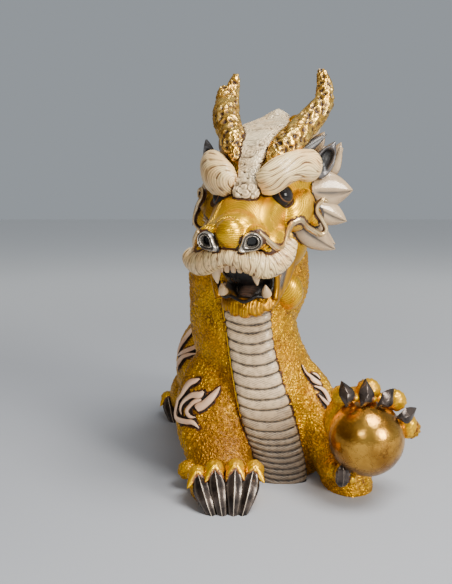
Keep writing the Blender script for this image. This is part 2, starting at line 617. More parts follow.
face.finish(Base_Color=face.mix(hollow, base, (0.06, 0.018, 0.002)), Metallic=(1 - mark) * 0.88,
            Roughness=0.27 + patch * 0.08 + hollow * 0.15, height=1 - groove + face.noise(900, 3) * 0.25, depth=0.0002)
piece("head", [head], face.material)


# MOUTH. The hollow between the jaws is painted black and cut with ridges; the tongue lies
# in it. The lower jaw is gold, its chin cut with upright flutes that end in scallops.
def glazed(name, light, shade, line, metallic=0.0, roughness=0.3, coat=0.4,
           grain=700, depth=0.0002, size=60, shine=0.4):
    """Glaze over relief: light and shade in slow patches, line wherever the mesh is marked dark."""
    glaze = Glaze(name, Coat_Weight=coat, Coat_Roughness=0.08, Specular_IOR_Level=shine)
    dark = glaze.mark("dark").clamped()
    patch = glaze.noise(size, 4).step(0.36, 0.66)
    return glaze.finish(Base_Color=glaze.mix(dark, glaze.mix(patch, light, shade), line),
                        Metallic=metallic * (1 - dark), Roughness=roughness + patch * 0.1 + dark * 0.1,
                        height=glaze.noise(grain, 3), depth=depth)


def rolls(phase, power=3):
    """Rounded rolls with narrow grooves at whole numbers: 1 less a power of 1 less the wave."""
    return 1 - (1 - ridge(phase)) ** power


JAW = [(0, -2, -56, 27, 15), (0, -22, -66, 26, 11), (-1, -42, -72.5, 24, 8.3), (-1, -54, -74.3, 21.5, 8),
       (-0.5, -61, -73.2, 15.5, 8), (0, -65, -72, 8.5, 5.8), (0, -66.8, -71.2, 2.5, 2)]
jaw = carry(JAW, X_WAY, 13, 120)
x, y, z = np.moveaxis(jaw, -1, 0)
flute, scallop = rolls(x / 2.7 + 0.5 + 0.12 * np.sin(x)), rolls(x / 9.5 + 0.5, 2)
below = step(-z, 66, 69) * step(-y, 44, 56)
jaw = jaw + outward(jaw) * (below * (0.5 * flute + 1.8 * scallop * step(-z, 73, 79) - 1.3))[..., None]
x, y, z = np.moveaxis(jaw, -1, 0)
inside = step(z, -68, -66.5) * step(-y, 32, 36) * (1 - step(-y, 60, 62)) * (1 - step(x, 18, 20))
corner = step(np.abs(x), 19.6, 20.6) * (1 - step(np.abs(x), 23.0, 24.0)) * (1 - step(-y, 36, 43)) * step(z, -76, -71)
dark = inside + 0.6 * (1 - flute) ** 2 * below + 0.35 * (1 - step(-y, 40, 50)) + 0.62 * corner
bump = egg((21, 46, 40), (6.5, 6.5, 5.5), 16, 24)
gold_jaw = glazed("jaw_gold", (0.70, 0.34, 0.001), (0.52, 0.23, 0.001), (0.010, 0.006, 0.004),
                  metallic=0.88, roughness=0.28, coat=0.05)
piece("jaw", [surface(on_head(jaw), dark=np.clip(dark, 0, 1)), surface(on_head(bump), dark=0.0)], gold_jaw)
lining = egg((-3.5, -26, -50), (25.5, 25, 24), 30, 48)
tongue = carry([(0, -16, -56, 13, 4), (0, -34, -63, 13, 4.5), (0, -50, -66, 10, 4), (0, -58, -66.5, 4, 2)],
               X_WAY, 10, 40)
x, y, z = np.moveaxis(tongue, -1, 0)
rubbed = (1 - step(np.abs(x), 2, 8)) * step(-y, 43, 54) * (0.25 + 0.6 * ridge(y / 2.4))
LIP = [(-24, -44, -49, 0.8), (-24.3, -46.5, -54.5, 1.2), (-23.3, -51, -60, 1.3), (-20.5, -56, -65, 1.3),
       (-15, -60.5, -65.6, 1.3), (-10.2, -62.5, -63.3, 1.3), (-4, -65.2, -64.3, 1.3), (1.5, -66.4, -65.6, 1.4),
       (6.5, -65.4, -64.2, 1.3), (10.5, -63, -62.2, 1.3), (14.5, -60, -64.3, 1.3), (17.5, -56.5, -64.8, 1.3),
       (19.5, -51, -61, 1.2), (19.2, -46, -55.5, 1.1), (18.8, -42, -49, 0.8)]
black = glazed("mouth_black", (0.008, 0.007, 0.006), (0.014, 0.011, 0.010), (0.16, 0.10, 0.075),
               roughness=0.25, coat=0.0, grain=260, depth=0.0006, shine=0.3)
piece("mouth", [surface(on_head(lining), dark=0.0), surface(on_head(tongue), dark=rubbed),
                surface(on_head(carry(LIP, Y_WAY, 8, 16)), dark=0.0)], black)
ivory = glazed("ivory", (0.75, 0.52, 0.28), (0.58, 0.38, 0.18), (0.10, 0.05, 0.02), roughness=0.25, coat=0.5)


def teeth(hand):
    """Fangs and front teeth of one side: short tapered pegs."""
    fangs = [[(x * hand, y, z, 3.9), (x * hand, y - 1, (z + tip) / 2, 3.0), (x * hand, y - 1, tip, 0.6)]
             for x, y, z, tip in ((15.5, -70, -36, -48.5), (17.4, -58, -63, -54.5))]
    small = [[(x * hand, -68, -32, 2.0, 2.0), (x * hand, -68.5, -38, 2.1, 1.7), (x * hand, -68.5, -40.2, 1.5, 1.0)]
             for x in (2.5, 7.6, 12.4)]
    return [carry(rows, X_WAY, 8, 20) for rows in fangs] + [carry(rows, X_WAY, 6, 16, 3.0) for rows in small]


piece("teeth", [surface(on_head(tooth), dark=0.0) for tooth in both(teeth)], ivory)


# MOUSTACHE. A thick roll of hair over the upper lip, modelled on the muzzle and combed with
# a toothed tool from the nose outwards: bone-white glaze with brown left in the combing.
MOUSTACHE = [
    (-42, -53, -32, 4, 4), (-38, -60, -33.5, 7.8, 8), (-27, -70, -33, 9.2, 9), (-14, -77, -26.5, 8.2, 7.4),
    (0, -79.5, -22.2, 6.5, 6.4), (13, -77, -26.5, 8.6, 7.4), (23, -70, -32.5, 10, 9.5), (33, -59, -30, 9, 8.5),
    (38.5, -49, -22.5, 4, 4),
]
roll = carry(MOUSTACHE, Z_WAY, 62, 56)
turn = turns(56)[None, :]


def way_along(form):
    """Length of the way along a form's middle to each of its rings."""
    return np.concatenate([[0], np.cumsum(np.linalg.norm(np.diff(form.mean(1), axis=0), axis=1))])[:, None]


along = way_along(roll)
along = along - along[len(along) // 2]
hang = 0.5 - 0.5 * np.cos(turn)
swept = (along - np.sign(along) * 5.0 * hang ** 1.5 * step(np.abs(along), 0, 12)
         + 0.5 * np.sin(along * 0.9 + 2 * turn) + 0.3 * np.sin(along * 2.1 - 3 * turn))
strand, clump = rolls(swept / 1.3), rolls(swept / 5.6 + 0.35 * np.sin(along * 0.23 + turn), 6)
fringe = ridge(swept / 2.6) * np.clip(-np.cos(turn), 0, 1) ** 3
roll = roll + outward(roll) * (0.28 * strand + 0.16 * clump + 0.15 * fringe - 0.35)[..., None]
combed = (1 - strand) * (0.5 + 0.5 * ridge(swept / 3.1 + 0.3)) + 0.7 * (1 - clump) ** 2
combed = np.clip(combed * (0.85 + 0.45 * np.cos(turn) ** 2), 0, 1)
cream = glazed("cream_hair", (1.0, 0.75, 0.37), (1.0, 0.65, 0.28), (0.13, 0.05, 0.012), coat=0.45)
piece("moustache", [surface(on_head(roll), dark=combed)], cream)


# BROWS. Two thick combed brows laid on over the eyes, in the same bone-white glaze, with
# the hair running in loose waves from the forehead out to the ears. Each has its rows, its
# strands round and down it, and its locks round it.
BROWS = {
    1: ([(12, -33, 15.5, 8, 5), (19, -31, 17.2, 11, 9.5), (27, -23, 21.4, 11.2, 11), (35.5, -10, 21.8, 11, 10),
         (42.5, 1, 17.5, 11.8, 9), (46, 7, 16, 7, 5)], 46, 0, 12),
    -1: ([(-6.2, -33, 15, 7, 5), (-13.5, -31, 16.2, 12.7, 9.5), (-22.5, -24, 18, 15.2, 12),
          (-31, -11, 19.7, 14.8, 11), (-37.5, 0, 17.5, 12, 8.5), (-41, 6, 17, 4, 4)], 4, 30, 1),
}


def brow(hand):
    """One brow: a fat roll whose strands run along it and wander; deeper partings lie between the locks."""
    rows, around, down, locks = BROWS[hand]
    form = carry(rows, Z_WAY, 21, 180)
    along, turn = np.linspace(0, 1, len(form))[:, None], turns(180)[None, :]
    wander = 0.20 * np.sin(8 * along + 2 * turn + hand) + 0.08 * np.sin(17 * along - 3 * turn + 1)
    strand = rolls((turn + wander) * around / (2 * np.pi) + (along + 0.07 * np.sin(2 * turn + 0.6)) * down)
    clump = rolls((turn + 1.2 * wander) * locks / (2 * np.pi)
                  + (along + 0.09 * np.sin(2 * turn + 0.6)) * down / 4.3 + 0.2 * np.sin(5 * along), 6)
    chart = np.stack(np.broadcast_arrays(along * 40, turn * 12, float(hand)), -1)
    parted = step(waves(chart, 3.0), -0.25, 0.25)
    form = form + outward(form) * (0.3 * strand + (0.2 + 0.5 * parted) * clump - 0.5 * parted - 0.2)[..., None]
    dark = (1 - strand) * (0.42 + 0.4 * parted) + (0.15 + 0.8 * parted) * (1 - clump) ** 1.6
    return [surface(on_head(form), dark=np.clip(dark, 0, 1))]


piece("brows", both(brow), cream)


# EYES. Glossy black balls let in under the brows, each in a thin brown lid laid on as a
# rope of clay where the ball leaves the cheek.
EYES, EYE_RADIUS = {1: (24.2, -23.2, 2.0), -1: (-18.6, -28.0, 2.4)}, 9.2
LID_OUT, LID_RADIUS, LID_FAT = 6.0, 6.5, 0.6
glass = glazed("eye_black", (0.008, 0.007, 0.007), (0.02, 0.018, 0.018), (0.003, 0.003, 0.003),
               roughness=0.08, coat=0.0, grain=200, depth=0.0001, shine=0.18)
lid = glazed("lid", (0.16, 0.065, 0.012), (0.07, 0.025, 0.005), (0.01, 0.006, 0.004),
             metallic=0.2, roughness=0.35, coat=0.1)


def eye(hand):
    """A plain round ball."""
    return [surface(on_head(egg(EYES[hand], (EYE_RADIUS,) * 3, 30, 40)), dark=0.0)]


def lids(hand):
    """A thin lid round one eye: a rope along the circle in which the ball leaves the cheek."""
    turn = np.linspace(0, 2 * np.pi, 25)[:, None]
    way = unit(np.array((0.78 * hand, -0.32, 0.5)))
    over = unit(np.cross((0, 1, 0.35), way))
    ring = (np.array(EYES[hand]) + way * LID_OUT
            + (over * np.cos(turn) + np.cross(way, over) * np.sin(turn)) * LID_RADIUS)
    form = carry([(*point, LID_FAT) for point in ring], way, 4, 12)
    return [surface(on_head(form), dark=0.0)]


piece("eyes", both(eye), glass)
piece("lids", both(lids), lid)


# FOREHEAD. A shield of silver-grey glaze between the brows that widens over the forehead to
# the ridge of the crown: ring scrolls are pressed in at its foot, folds, pits and curls above.
PLATE = [
    (3.0, -43.5, 5.5, 6, 2), (3.0, -41, 8.5, 9.5, 3.4), (2.6, -36, 13, 10.6, 4.2), (2.3, -27, 21.5, 8.0, 4),
    (2.0, -13, 32.5, 11.5, 4), (0.5, 4, 39, 15, 4.2), (0, 22, 41.5, 19, 4.2), (0, 40, 39.8, 18, 4),
    (1, 53, 39.2, 13, 4.4), (2, 64, 40.5, 5, 3.5),
]
ROOF = [(0, 42, 39.5, 9, 3), (0.5, 52, 41, 13, 4.6), (2, 61, 41.6, 10.5, 5.8), (3.2, 67, 40, 4, 3)]


def carved(form, lobe_end, seed):
    """Silver skin of the forehead, with ring scrolls up to lobe_end mm from its start.

    Beyond them it has folds bowed across it, strewn pits, curls and fine scribble, each a
    power of a wave or a joint between cells.
    """
    along, across = way_along(form), form[..., 0] - form.mean(1)[:, None, 0]
    bow = along / 5.6 - 0.5 * (across / 10) ** 2 + 0.25 * waves(form, 6, seed)
    fold = (1 - ridge(bow)) ** 8 * step(waves(form, 4.5, seed + 1), 0.0, 0.3)
    pit = 1 - step(cells(form, 6.2, seed)[0], 0.09, 0.2)
    scribble, first = jointed(stirred(form, 0.5, 1.6), 2.2, seed + 2, 0.03, 0.35)
    joint, first = jointed(stirred(form, 1.2, 3.1), 10.5, seed + 4, 0.02, 0.12)
    curl = (1 - ridge(first * 5.5 + 0.5)) ** 2 * (1 - joint) * step(waves(form, 5.5, seed + 2), -0.5, 0.1)
    joint, first = jointed(form, 6.2, seed + 3, 0.03, 0.22)
    ring = ridge(first * 2.9 + 0.5)
    lobe = 1 - step(along, lobe_end - 4, lobe_end + 2)
    lift = (1 - lobe) * (0.1 - 0.5 * fold - 1.1 * pit - 0.3 * scribble - 0.4 * curl) + lobe * 0.5 * (ring - 0.5 - joint)
    dark = ((1 - lobe) * (0.6 * fold + pit + 0.42 * scribble + 0.62 * curl)
            + lobe * (0.55 * (1 - ring) ** 2 + 0.6 * joint))
    return surface(on_head(form + outward(form) * lift[..., None]), dark=np.clip(dark, 0, 1))


silver = glazed("forehead_silver", (1.0, 0.82, 0.52), (1.0, 0.74, 0.42), (0.07, 0.042, 0.022),
                metallic=0.25, coat=0.3, grain=1100, depth=0.0003)
piece("forehead", [carved(carry(PLATE, X_WAY, 24, 136, 3.0), 16, 2.0),
                   carved(carry(ROOF, X_WAY, 18, 100, 1.2), -9, 4.0)], silver)


# HORNS. Modelled rough and pitted all over, then covered in bright metal that catches the
# light on every edge; brown glaze shows in the pits.
HORNS = [
    [(17.5, -20.5, 27, 1.6), (19.5, -17, 29.5, 5.2), (22.8, -11, 32.5, 8.6), (27.5, 0, 36.5, 9.8), (35, 24, 43, 9.3),
     (43.8, 43, 53, 7.8), (43.8, 55, 64.5, 5.6), (39.5, 62.5, 76.5, 2.4)],
    [(-8.4, -22, 30, 1.8), (-11.4, -15, 34, 4.6), (-15.6, -4, 37.5, 8.7), (-21, 8, 42, 9.4), (-29.5, 23, 49, 10.3),
     (-34.5, 42, 58, 9), (-33, 54, 67, 5.2), (-30.5, 62, 76, 2.4)],
    [(-33, 36, 54, 8), (-36.5, 43, 63, 6.4), (-37, 48, 69.5, 3.4)],
]


def pitted(rows):
    """A horn: crests along the joints between strewn spots, deep pits near the spots, and a finer layer of crests."""
    form = carry(rows, Z_WAY, 18, 84)
    coarse, first = jointed(stirred(form, 1.5, 2.0), 5.6, 1.0, 0.0, 0.5)
    fine = jointed(stirred(form, 1.5, 2.0), 2.6, 5.0, 0.0, 0.5)[0]
    lift = 0.9 * coarse + 0.7 * fine - 1.9 * (1 - step(first, 0.1, 0.65)) - 0.4
    return surface(on_head(form + outward(form) * lift[..., None]), dark=1 - step(lift, -0.7, 0.75))


horn_metal = glazed("horn_metal", (1.0, 0.64, 0.15), (0.62, 0.32, 0.04), (0.035, 0.010, 0.002),
                    metallic=0.97, roughness=0.17, coat=0.0, grain=600, depth=0.0003, size=130)
rim = carry([(15.5, -19.5, 31, 0.6), (18.5, -21, 27, 1.2), (25, -15.5, 26, 1.3), (29.2, -4, 26.5, 1.3),
             (33.3, 4, 29.5, 1.3), (36.5, 12, 33.5, 1.2), (39, 18, 37.5, 0.5)], Z_WAY, 8, 14)
piece("horns", [pitted(rows) for rows in HORNS] + [surface(on_head(rim), dark=0.0)], horn_metal)


# MANE AND EARS. Pointed leaves of hair stand out round the back of the head, glazed silver
# cream with one dark vein each; the ears are cupped leaves in dark lustre with a black hollow.
def leaf_form(root, tip, face, width, depth, curl, steps=8, sides=32):
    """A pointed leaf carried from root to tip; it faces along face and curls towards it with the square of the way."""
    root, tip, face = np.array(root, float), np.array(tip, float), unit(np.array(face, float))
    run = tip - root
    shape = [(0.0, 0.62, 1.0), (0.2, 0.9, 1.0), (0.45, 1.0, 0.9), (0.7, 0.72, 0.7), (0.88, 0.36, 0.5), (1.0, 0.04, 0.2)]
    rows = [(*(root + run * s + face * curl * s * s), width * w, depth * d) for s, w, d in shape]
    return carry(rows, unit(np.cross(run, face)), steps, sides, 1.7)


def veined(form, spot=0.12):
    """The leaf with one groove down each broad side, spot of its half width off the middle, and a dark rim."""
    turn = turns(form.shape[1])[None, :]
    along = np.linspace(0, 1, len(form))[:, None]
    vein = np.exp(-((np.cos(turn) - spot - 0.25 * along) / 0.14) ** 2)
    vein = vein * step(along, 0.02, 0.2) * (1 - step(along, 0.93, 1.0))
    rim = step(np.abs(np.cos(turn)), 0.965, 0.995) * step(along, 0.1, 0.3)
    return surface(form - outward(form) * (0.7 * vein)[..., None], dark=np.clip(vein * 1.1 + 0.75 * rim, 0, 1))


LEAVES = [
    ((43.5, 27, -5), (59, 37, 24.5), 8.6, 4.5), ((38, 10, -5), (67, 28, -11.5), 14.5, 5.5),
    ((42, 8, -18), (63, 18, -34), 10, 5), ((30, -6, -28), (54, 10, -55), 10.5, 5),
    ((35, 33, 18), (46, 38, 33), 6, 4), ((31, 40, 0), (54, 60, 13), 13, 5.5),
    ((22, 34, -16), (48, 58, -33), 12, 5.5), ((20, 16, -36), (48, 36, -62), 12, 5.5),
    ((14, 50, 20), (30, 84, 27), 14, 6), ((16, 48, 0), (42, 86, -4), 14, 6),
    ((10, 52, 10), (12, 96, 8), 14, 6), ((12, 40, -20), (36, 82, -40), 14, 6),
    ((8, 40, -24), (12, 88, -34), 14, 6),
]


def mane(hand):
    """The leaves of one side of the head."""
    made = []
    for root, tip, width, depth in LEAVES:
        root, tip = facing(hand, [root, (tip[0] * (0.91 if hand < 0 else 1), *tip[1:])])
        face = np.cross(np.subtract(tip, root), (0, 0.35, 1))
        made.append(veined(on_head(leaf_form(root, tip, face, width, depth, 2 * hand)), 0.12 * hand))
    if hand < 0:
        made.append(veined(on_head(leaf_form((-45, -7, -3), (-61, -3, -31), (0.3, -1, 0), 3.6, 3, 0))))
    return made


mane_glaze = glazed("mane_silver", (0.52, 0.37, 0.21), (0.38, 0.26, 0.15), (0.03, 0.02, 0.012),
                    metallic=0.15, roughness=0.2, coat=0.6, grain=500)
piece("mane", both(mane), mane_glaze)


def ear(hand):
    """A cupped leaf: the side that faces forwards is sunk by a smooth bowl, dark at its bottom."""
    rows = facing(hand, [(43, 13, 5), (56.5, 26, 28.5) if hand > 0 else (51, 26, 33)])
    face = unit(np.array((0.35 * hand, -0.9, 0.1)))
    form = leaf_form(*rows, face, 8.2, 5.5, -1, 14, 48)
    turn, along = turns(48)[None, :], np.linspace(0, 1, len(form))[:, None]
    front = np.clip(unit(form - form.mean(1, keepdims=True)) @ face, 0, 1)
    bowl = np.clip(front * 1.5, 0, 1) * np.exp(-((along - 0.4) / 0.24) ** 4) * np.exp(-(np.cos(turn) / 0.72) ** 4)
    made = [surface(on_head(form - face * (6.5 * bowl)[..., None]), dark=step(bowl, 0.3, 0.55))]
    if hand > 0:
        band = veined(on_head(leaf_form((26, 10, 22), (49, 30, 33), (0, -1, 0.3), 4.8, 3.5, -1)), 0.2)
        band["marks"]["dark"] = np.maximum(band["marks"]["dark"], 0.6)
        made.append(band)
    return made


ear_dark = glazed("ear_dark", (0.20, 0.185, 0.18), (0.11, 0.10, 0.10), (0.008, 0.007, 0.007),
                  metallic=0.75, roughness=0.28, coat=0.15, grain=300, depth=0.0003)
piece("ears", both(ear), ear_dark)


# NOSTRILS AND RIBBONS. Each nostril is a black hole in two raised rings of dark metal that
# run out in a tail towards the nose; a raised cord of pale metal runs back from the
# nostril over the cheek and curls up below the eye.
def nostril(hand):
    """A teardrop boss on the nose's wing.

    Reach over the turn: a circle, with a bell-shaped bulge added towards the nose and down.
    Height over the share of the reach: the hole, two rings with a groove between them and a
    fall to the skin.
    """
    turn = turns(72)[None, :]
    share = np.linspace(1, 0, 44)[:, None]
    away = np.abs((turn - (np.pi - 0.62) + np.pi) % (2 * np.pi) - np.pi)
    reach = share * (7.2 + 4.8 * np.exp(-(away / 0.42) ** 2) * share ** 1.3)
    wide, tall = 1.08 * reach * np.cos(turn), 0.98 * reach * np.sin(turn)
    height = (2.0 * np.exp(-((share - 0.84) / 0.08) ** 2) + 1.7 * np.exp(-((share - 0.60) / 0.07) ** 2)
              - 3.5 * (1 - step(share, 0.36, 0.52)) - 1.6 * step(share, 0.9, 1.0))
    centre = np.array(NOSTRILS[hand])
    way = unit(np.array((0.30 * hand, -0.92, 0.22)))
    over = unit(np.array((0.92 * hand, 0.30, 0.0)))
    up = unit(np.cross(over, way) * hand)
    grid = centre + wide[..., None] * over + tall[..., None] * up + height[..., None] * way
    dark = 1 - step(share, 0.44, 0.54) + np.exp(-((share - 0.72) / 0.06) ** 2) + step(share, 0.90, 0.95)
    return [surface(on_head(grid[:, ::int(hand)]), ends=False, dark=np.clip(dark, 0, 1))]


steel = glazed("dark_metal", (0.75, 0.66, 0.55), (0.30, 0.26, 0.22), (0.004, 0.003, 0.003),
               metallic=0.9, roughness=0.17, coat=0.3, grain=300, size=160)
piece("nostrils", both(nostril), steel)
RIBBON = [(22.9, -75.5, -5, 0.7), (27.6, -72, -12.4, 0.9), (31.5, -65.6, -20.9, 1), (34.1, -58.6, -23.2, 1),
          (33.5, -44.4, -18.8, 1), (33.9, -30.7, -16.5, 1), (38.5, -24.3, -16.2, 1), (39.4, -13, -26.1, 1),
          (43.4, -7, -32.7, 1), (48, -2, -36.9, 1), (50.7, 1, -33.4, 1), (48.2, 0, -25.5, 1), (45.2, -2, -18.1, 1),
          (46.1, -1, -12.7, 1), (50.3, 2, -10.2, 1), (53.2, 4, -12.5, 0.5)]
LEFT_END = [(-46, -10, -31.5, 0.9), (-52.6, -9, -30.8, 0.8), (-55.8, -8.5, -25.8, 0.8), (-54.6, -8.6, -19.5, 0.8),
            (-51, -9, -13, 0.8), (-46.5, -14.6, -6.5, 0.9), (-43.2, -14, -1.9, 0.9), (-43.8, -11, 1.5, 0.8),
            (-46.5, -7.5, 2.4, 0.8), (-49.5, -5, -0.5, 0.7), (-50.5, -5, -5.5, 0.5)]
pale_metal = glazed("ribbon_metal", (0.85, 0.62, 0.32), (0.62, 0.38, 0.13), (0.04, 0.016, 0.006),
                    metallic=0.85, roughness=0.22, coat=0.3, grain=300)


def ribbon(hand):
    """The cord over one cheek: a flat band stood proud of the skin, with a groove along its middle."""
    path = RIBBON if hand > 0 else facing(hand, RIBBON[:8]) + LEFT_END
    rows = np.array([(x, y, z, 2.2 * fat, 2.1 * fat) for x, y, z, fat in path])
    away = unit(rows[:, :3] - np.array((0, -25, -12)))
    run = unit(np.gradient(rows[:, :3], axis=0))
    form = carry(rows, np.cross(away, run), 9, 32, 2.4)
    turn = turns(32)[None, :]
    line = np.exp(-((turn - 0.62 * np.pi) / 0.2) ** 2)
    edge = 1 - step(np.sin(turn), -0.5, -0.1)
    return [surface(on_head(form - outward(form) * (0.6 * line)[..., None]), dark=np.clip(line * 0.7 + edge, 0, 1))]


piece("ribbons", both(ribbon), pale_metal)


# PAWS. Knuckles like scaly buttons in bright gold, each with cuticles that part over a long
# ridged claw of dark burnished metal.
gold_knuckle = glazed("knuckle_gold", (1.0, 0.57, 0.0), (0.92, 0.48, 0.0), (0.14, 0.04, 0.001),
                      metallic=0.88, roughness=0.26, coat=0.0, grain=500)
claw_metal = glazed("claw_metal", (0.10, 0.075, 0.062), (0.022, 0.017, 0.015), (0.80, 0.66, 0.52),
                    metallic=0.75, roughness=0.22, coat=0.1, grain=300, size=120)
TOES = [((-58.3, -98, 21.8), (-46.4, -120)), ((-45, -98, 26), (-38.6, -120.5)),
        ((-28.8, -98, 27), (-30.6, -120.5)), ((-14.1, -97, 25.5), (-24.2, -120))]
for hand, foot in ((1, -79), (-1, 35)):
    TOES += [((foot - hand * (20 - 13.4 * i), 115 + 2 * abs(i - 1.5), 21 - abs(i - 1.5)),
              (foot - hand * (12 - 8 * i), 96)) for i in range(4)]
knuckles, claws = [], []


def scaly(centre, radii):
    """A round knuckle covered with small raised scales."""
    knuckle = egg(centre, radii, 26, 34)
    joint, first = jointed(knuckle, 3.0, centre[0], 0.02, 0.4)
    return surface(knuckle + outward(knuckle) * (0.9 * (0.5 - first) - 0.4 * joint)[..., None], dark=joint * 0.6)


def claw_form(rows, side):
    """A claw with a sharp ridge down its front and a lesser one to each side; their edges are rubbed bright."""
    claw = carry(rows, side, 8, 32, 1.15)
    turn = turns(32)[None, :]
    lesser = np.exp(-((np.abs(turn - np.pi / 2) - 0.98) / 0.09) ** 2)
    rubbed = np.exp(-((turn - np.pi / 2) / 0.1) ** 2)
    return surface(claw + outward(claw) * (0.5 * lesser)[..., None], dark=np.clip(rubbed + 0.1 * lesser, 0, 1))


CLAW_WIDE, CLAW_DEEP = [0.5, 4.8, 7.2, 6.4, 4.9, 3.5], [1.0, 3.0, 4.8, 4.8, 4.2, 3.2]
for (x, y, z), (tip_x, tip_y) in TOES:
    knuckles.append(scaly((x, y, z), (8.0, 9.3, 8.2)))
    for way in (-1, 1):
        petal = leaf_form((x + 1.0 * way, y - 5, z + 5), (x + 7.2 * way, y - 12, z - 5.5),
                          (way * 0.3, -1, 0.4), 3.2, 1.8, 1.0, 5, 14)
        knuckles.append(surface(petal, dark=0.0))
    foot_way = np.sign(tip_y - y)
    share = np.array([0.0, 0.16, 0.34, 0.56, 0.78, 1.0])[:, None]
    line = np.array((x, y + 4 * foot_way, z + 4.5)) * (1 - share) + np.array((tip_x, tip_y, -1.5)) * share
    line[:, 1:2] += 4.0 * foot_way * np.sin(np.pi * share)
    claws.append(claw_form(np.column_stack([line, CLAW_WIDE, CLAW_DEEP]), X_WAY))
NAILS = [((52.4, 98.0), (55.4, 89.6), (55.0, 80.6), 6.0), ((70.6, 99.6), (70.2, 89.0), (66.0, 81.5), 6.2),
         ((92.4, 92.0), (85.8, 86.0), (78.4, 81.4), 6.2), ((110.0, 76.8), (101.4, 73.2), (93.2, 72.4), 6.2)]
for (fx, fz), (mx, mz), (tx, tz), fat in NAILS:
    side = unit(np.array((tz - fz, 0, fx - tx)))
    claws.append(claw_form([(fx, -99.5, fz, 0.4, 0.8), ((fx + mx) / 2, -104, (fz + mz) / 2, fat * 0.72, 2.6),
                            (mx, -107, mz, fat, 3.4), ((mx + tx) / 2, -109, (mz + tz) / 2, fat * 0.62, 2.8),
                            (tx, -109.5, tz, 0.5, 0.8)], side))
thumb = claw_form([(52.6, -109, 35.6, 0.8, 1.0), (53.2, -110, 32, 4.8, 3.2), (53.5, -109.5, 26, 5.6, 3.8),
                   (53.0, -108, 20, 4.8, 3.4), (52.7, -106, 16.4, 0.8, 1.0)], X_WAY)
thumb["marks"]["dark"] *= 0.25
claws.append(thumb)
knuckles.append(scaly((54.3, -101.5, 24.5), (6.8, 7.5, 8.5)))
for degrees, fat in GRIP[:3]:
    knuckles.append(scaly(around_ball(degrees, BALL_RADIUS + 7, -6), (fat * 1.18,) * 3))
knuckles.append(scaly((105.0, -95, 61.5), (7.6, 8.5, 10.5)))
for centre, radii in (((61.1, -105.5, 86.8), (4.2, 3.5, 2.8)), ((74.0, -105.5, 86.0), (4.6, 3.5, 2.8)),
                      ((60.0, -106, 22.5), (4.0, 3.5, 3.4))):
    knuckles.append(surface(egg(centre, radii, 12, 18), dark=0.25))
# The raised edge along the left of the belly plates is painted with the same bright gold.
belly_edge = [(x - 0.995 * (wide + 0.4), y - 0.5, z, 0.8) for x, y, z, wide, _ in run_through(BELLY, 3)]
knuckles.append(surface(carry(belly_edge, X_WAY, 8, 16), dark=0.0))
piece("knuckles", [on_ground(k) for k in knuckles], gold_knuckle)
piece("claws", [on_ground(c) for c in claws], claw_metal, crease=40)


# FLAMES. Curled tongues of flame laid over the joints of the legs, bone white with a rosy
# cast, each outlined where it meets the gold.
FLAMES = [
    [(-57.6, -41.8, 84.2, 0.7), (-61.9, -41.2, 82.2, 2.4), (-66.2, -41.1, 79.2, 3), (-69.7, -40.6, 74.6, 2.8),
     (-72.5, -40.9, 70.3, 2), (-75.3, -40.2, 65.3, 1.6), (-77, -41.1, 60.7, 1.6), (-77.6, -42, 54.2, 1.8),
     (-75.5, -47, 50.4, 2.1), (-69.1, -53.3, 51, 2.1), (-63.5, -56.7, 50.8, 1.9), (-58.6, -60.1, 46.5, 0.4)],
    [(-55.2, -49.4, 75.6, 1.2), (-57.8, -49.9, 72, 3), (-63.8, -47.9, 70.8, 2.4), (-69.1, -46.5, 67.4, 1.9),
     (-72.6, -45.4, 62.5, 1.5), (-74, -45.9, 57.8, 1.2), (-73.2, -47.7, 54.6, 0.4)],
    [(-56.5, -52.4, 68.6, 1.2), (-62, -51.2, 66.9, 1.9), (-66.4, -50.5, 63.2, 1.7), (-68.2, -50.9, 58.8, 1.7),
     (-66.3, -53.8, 55.9, 1.5), (-61, -56.4, 54.6, 0.4)],
    [(-41.2, -48.5, 79, 0.3), (-44.4, -50.7, 75.2, 2), (-49, -52.9, 70.4, 3), (-54, -54.1, 65.8, 3.3),
     (-58.1, -54.1, 62.8, 3.7), (-60.6, -54, 61.9, 3)],
    [(28.7, -33.9, 93.4, 0.6), (32.2, -33.9, 87.5, 1), (36.1, -31.3, 83.1, 1.7), (39.8, -33, 80.1, 2.5),
     (43.6, -34.7, 77.8, 1.9), (45.7, -34.9, 76.1, 0.5)],
    [(38.6, -27.8, 85.6, 0.5), (42.1, -27.9, 83.4, 1.3), (45.3, -29.8, 80.4, 0.5)],
    [(39.4, -36.8, 76.2, 0.5), (45.4, -38.1, 73.5, 1.8), (49.7, -40.2, 69.3, 2.1), (52, -45, 63.4, 1.6),
     (53, -50, 58, 0.5)],
    [(42.3, -42.3, 69.9, 0.4), (46.2, -45.5, 66.4, 1.4), (49.6, -47.5, 62.2, 1.6), (51, -52, 56, 0.6)],
    [(-65.4, 78.9, 106.4, 0.8), (-70.5, 77.8, 101.5, 3.2), (-75.6, 77.2, 94.3, 3.2), (-80.9, 80, 85.4, 2.6),
     (-84.3, 82.9, 77.5, 1.3)],
    [(-84.1, 82.3, 74.3, 0.6), (-78.4, 70.9, 81.3, 2.1), (-72, 65.6, 85, 2.3), (-65.9, 63.5, 89.1, 1.9),
     (-61.9, 63.7, 94.1, 0.4)],
    [(-65.3, 60.1, 82.2, 0.4), (-72, 64.2, 80.8, 1.8), (-78.4, 70.2, 76.3, 2.4), (-82.8, 75.3, 69.8, 2.9),
     (-84.6, 78.5, 62.2, 0.4)],
]
skin_points = np.vstack([front["points"], rear["points"]])
skin_normals = np.vstack([front["normals"], rear["normals"]])


def on_skin(points):
    """The nearest point of the cast skin to each point, and the way out of the skin there."""
    found = [np.argmin(((skin_points - p) ** 2).sum(1)) for p in np.array(points, float)]
    return skin_points[found], skin_normals[found]


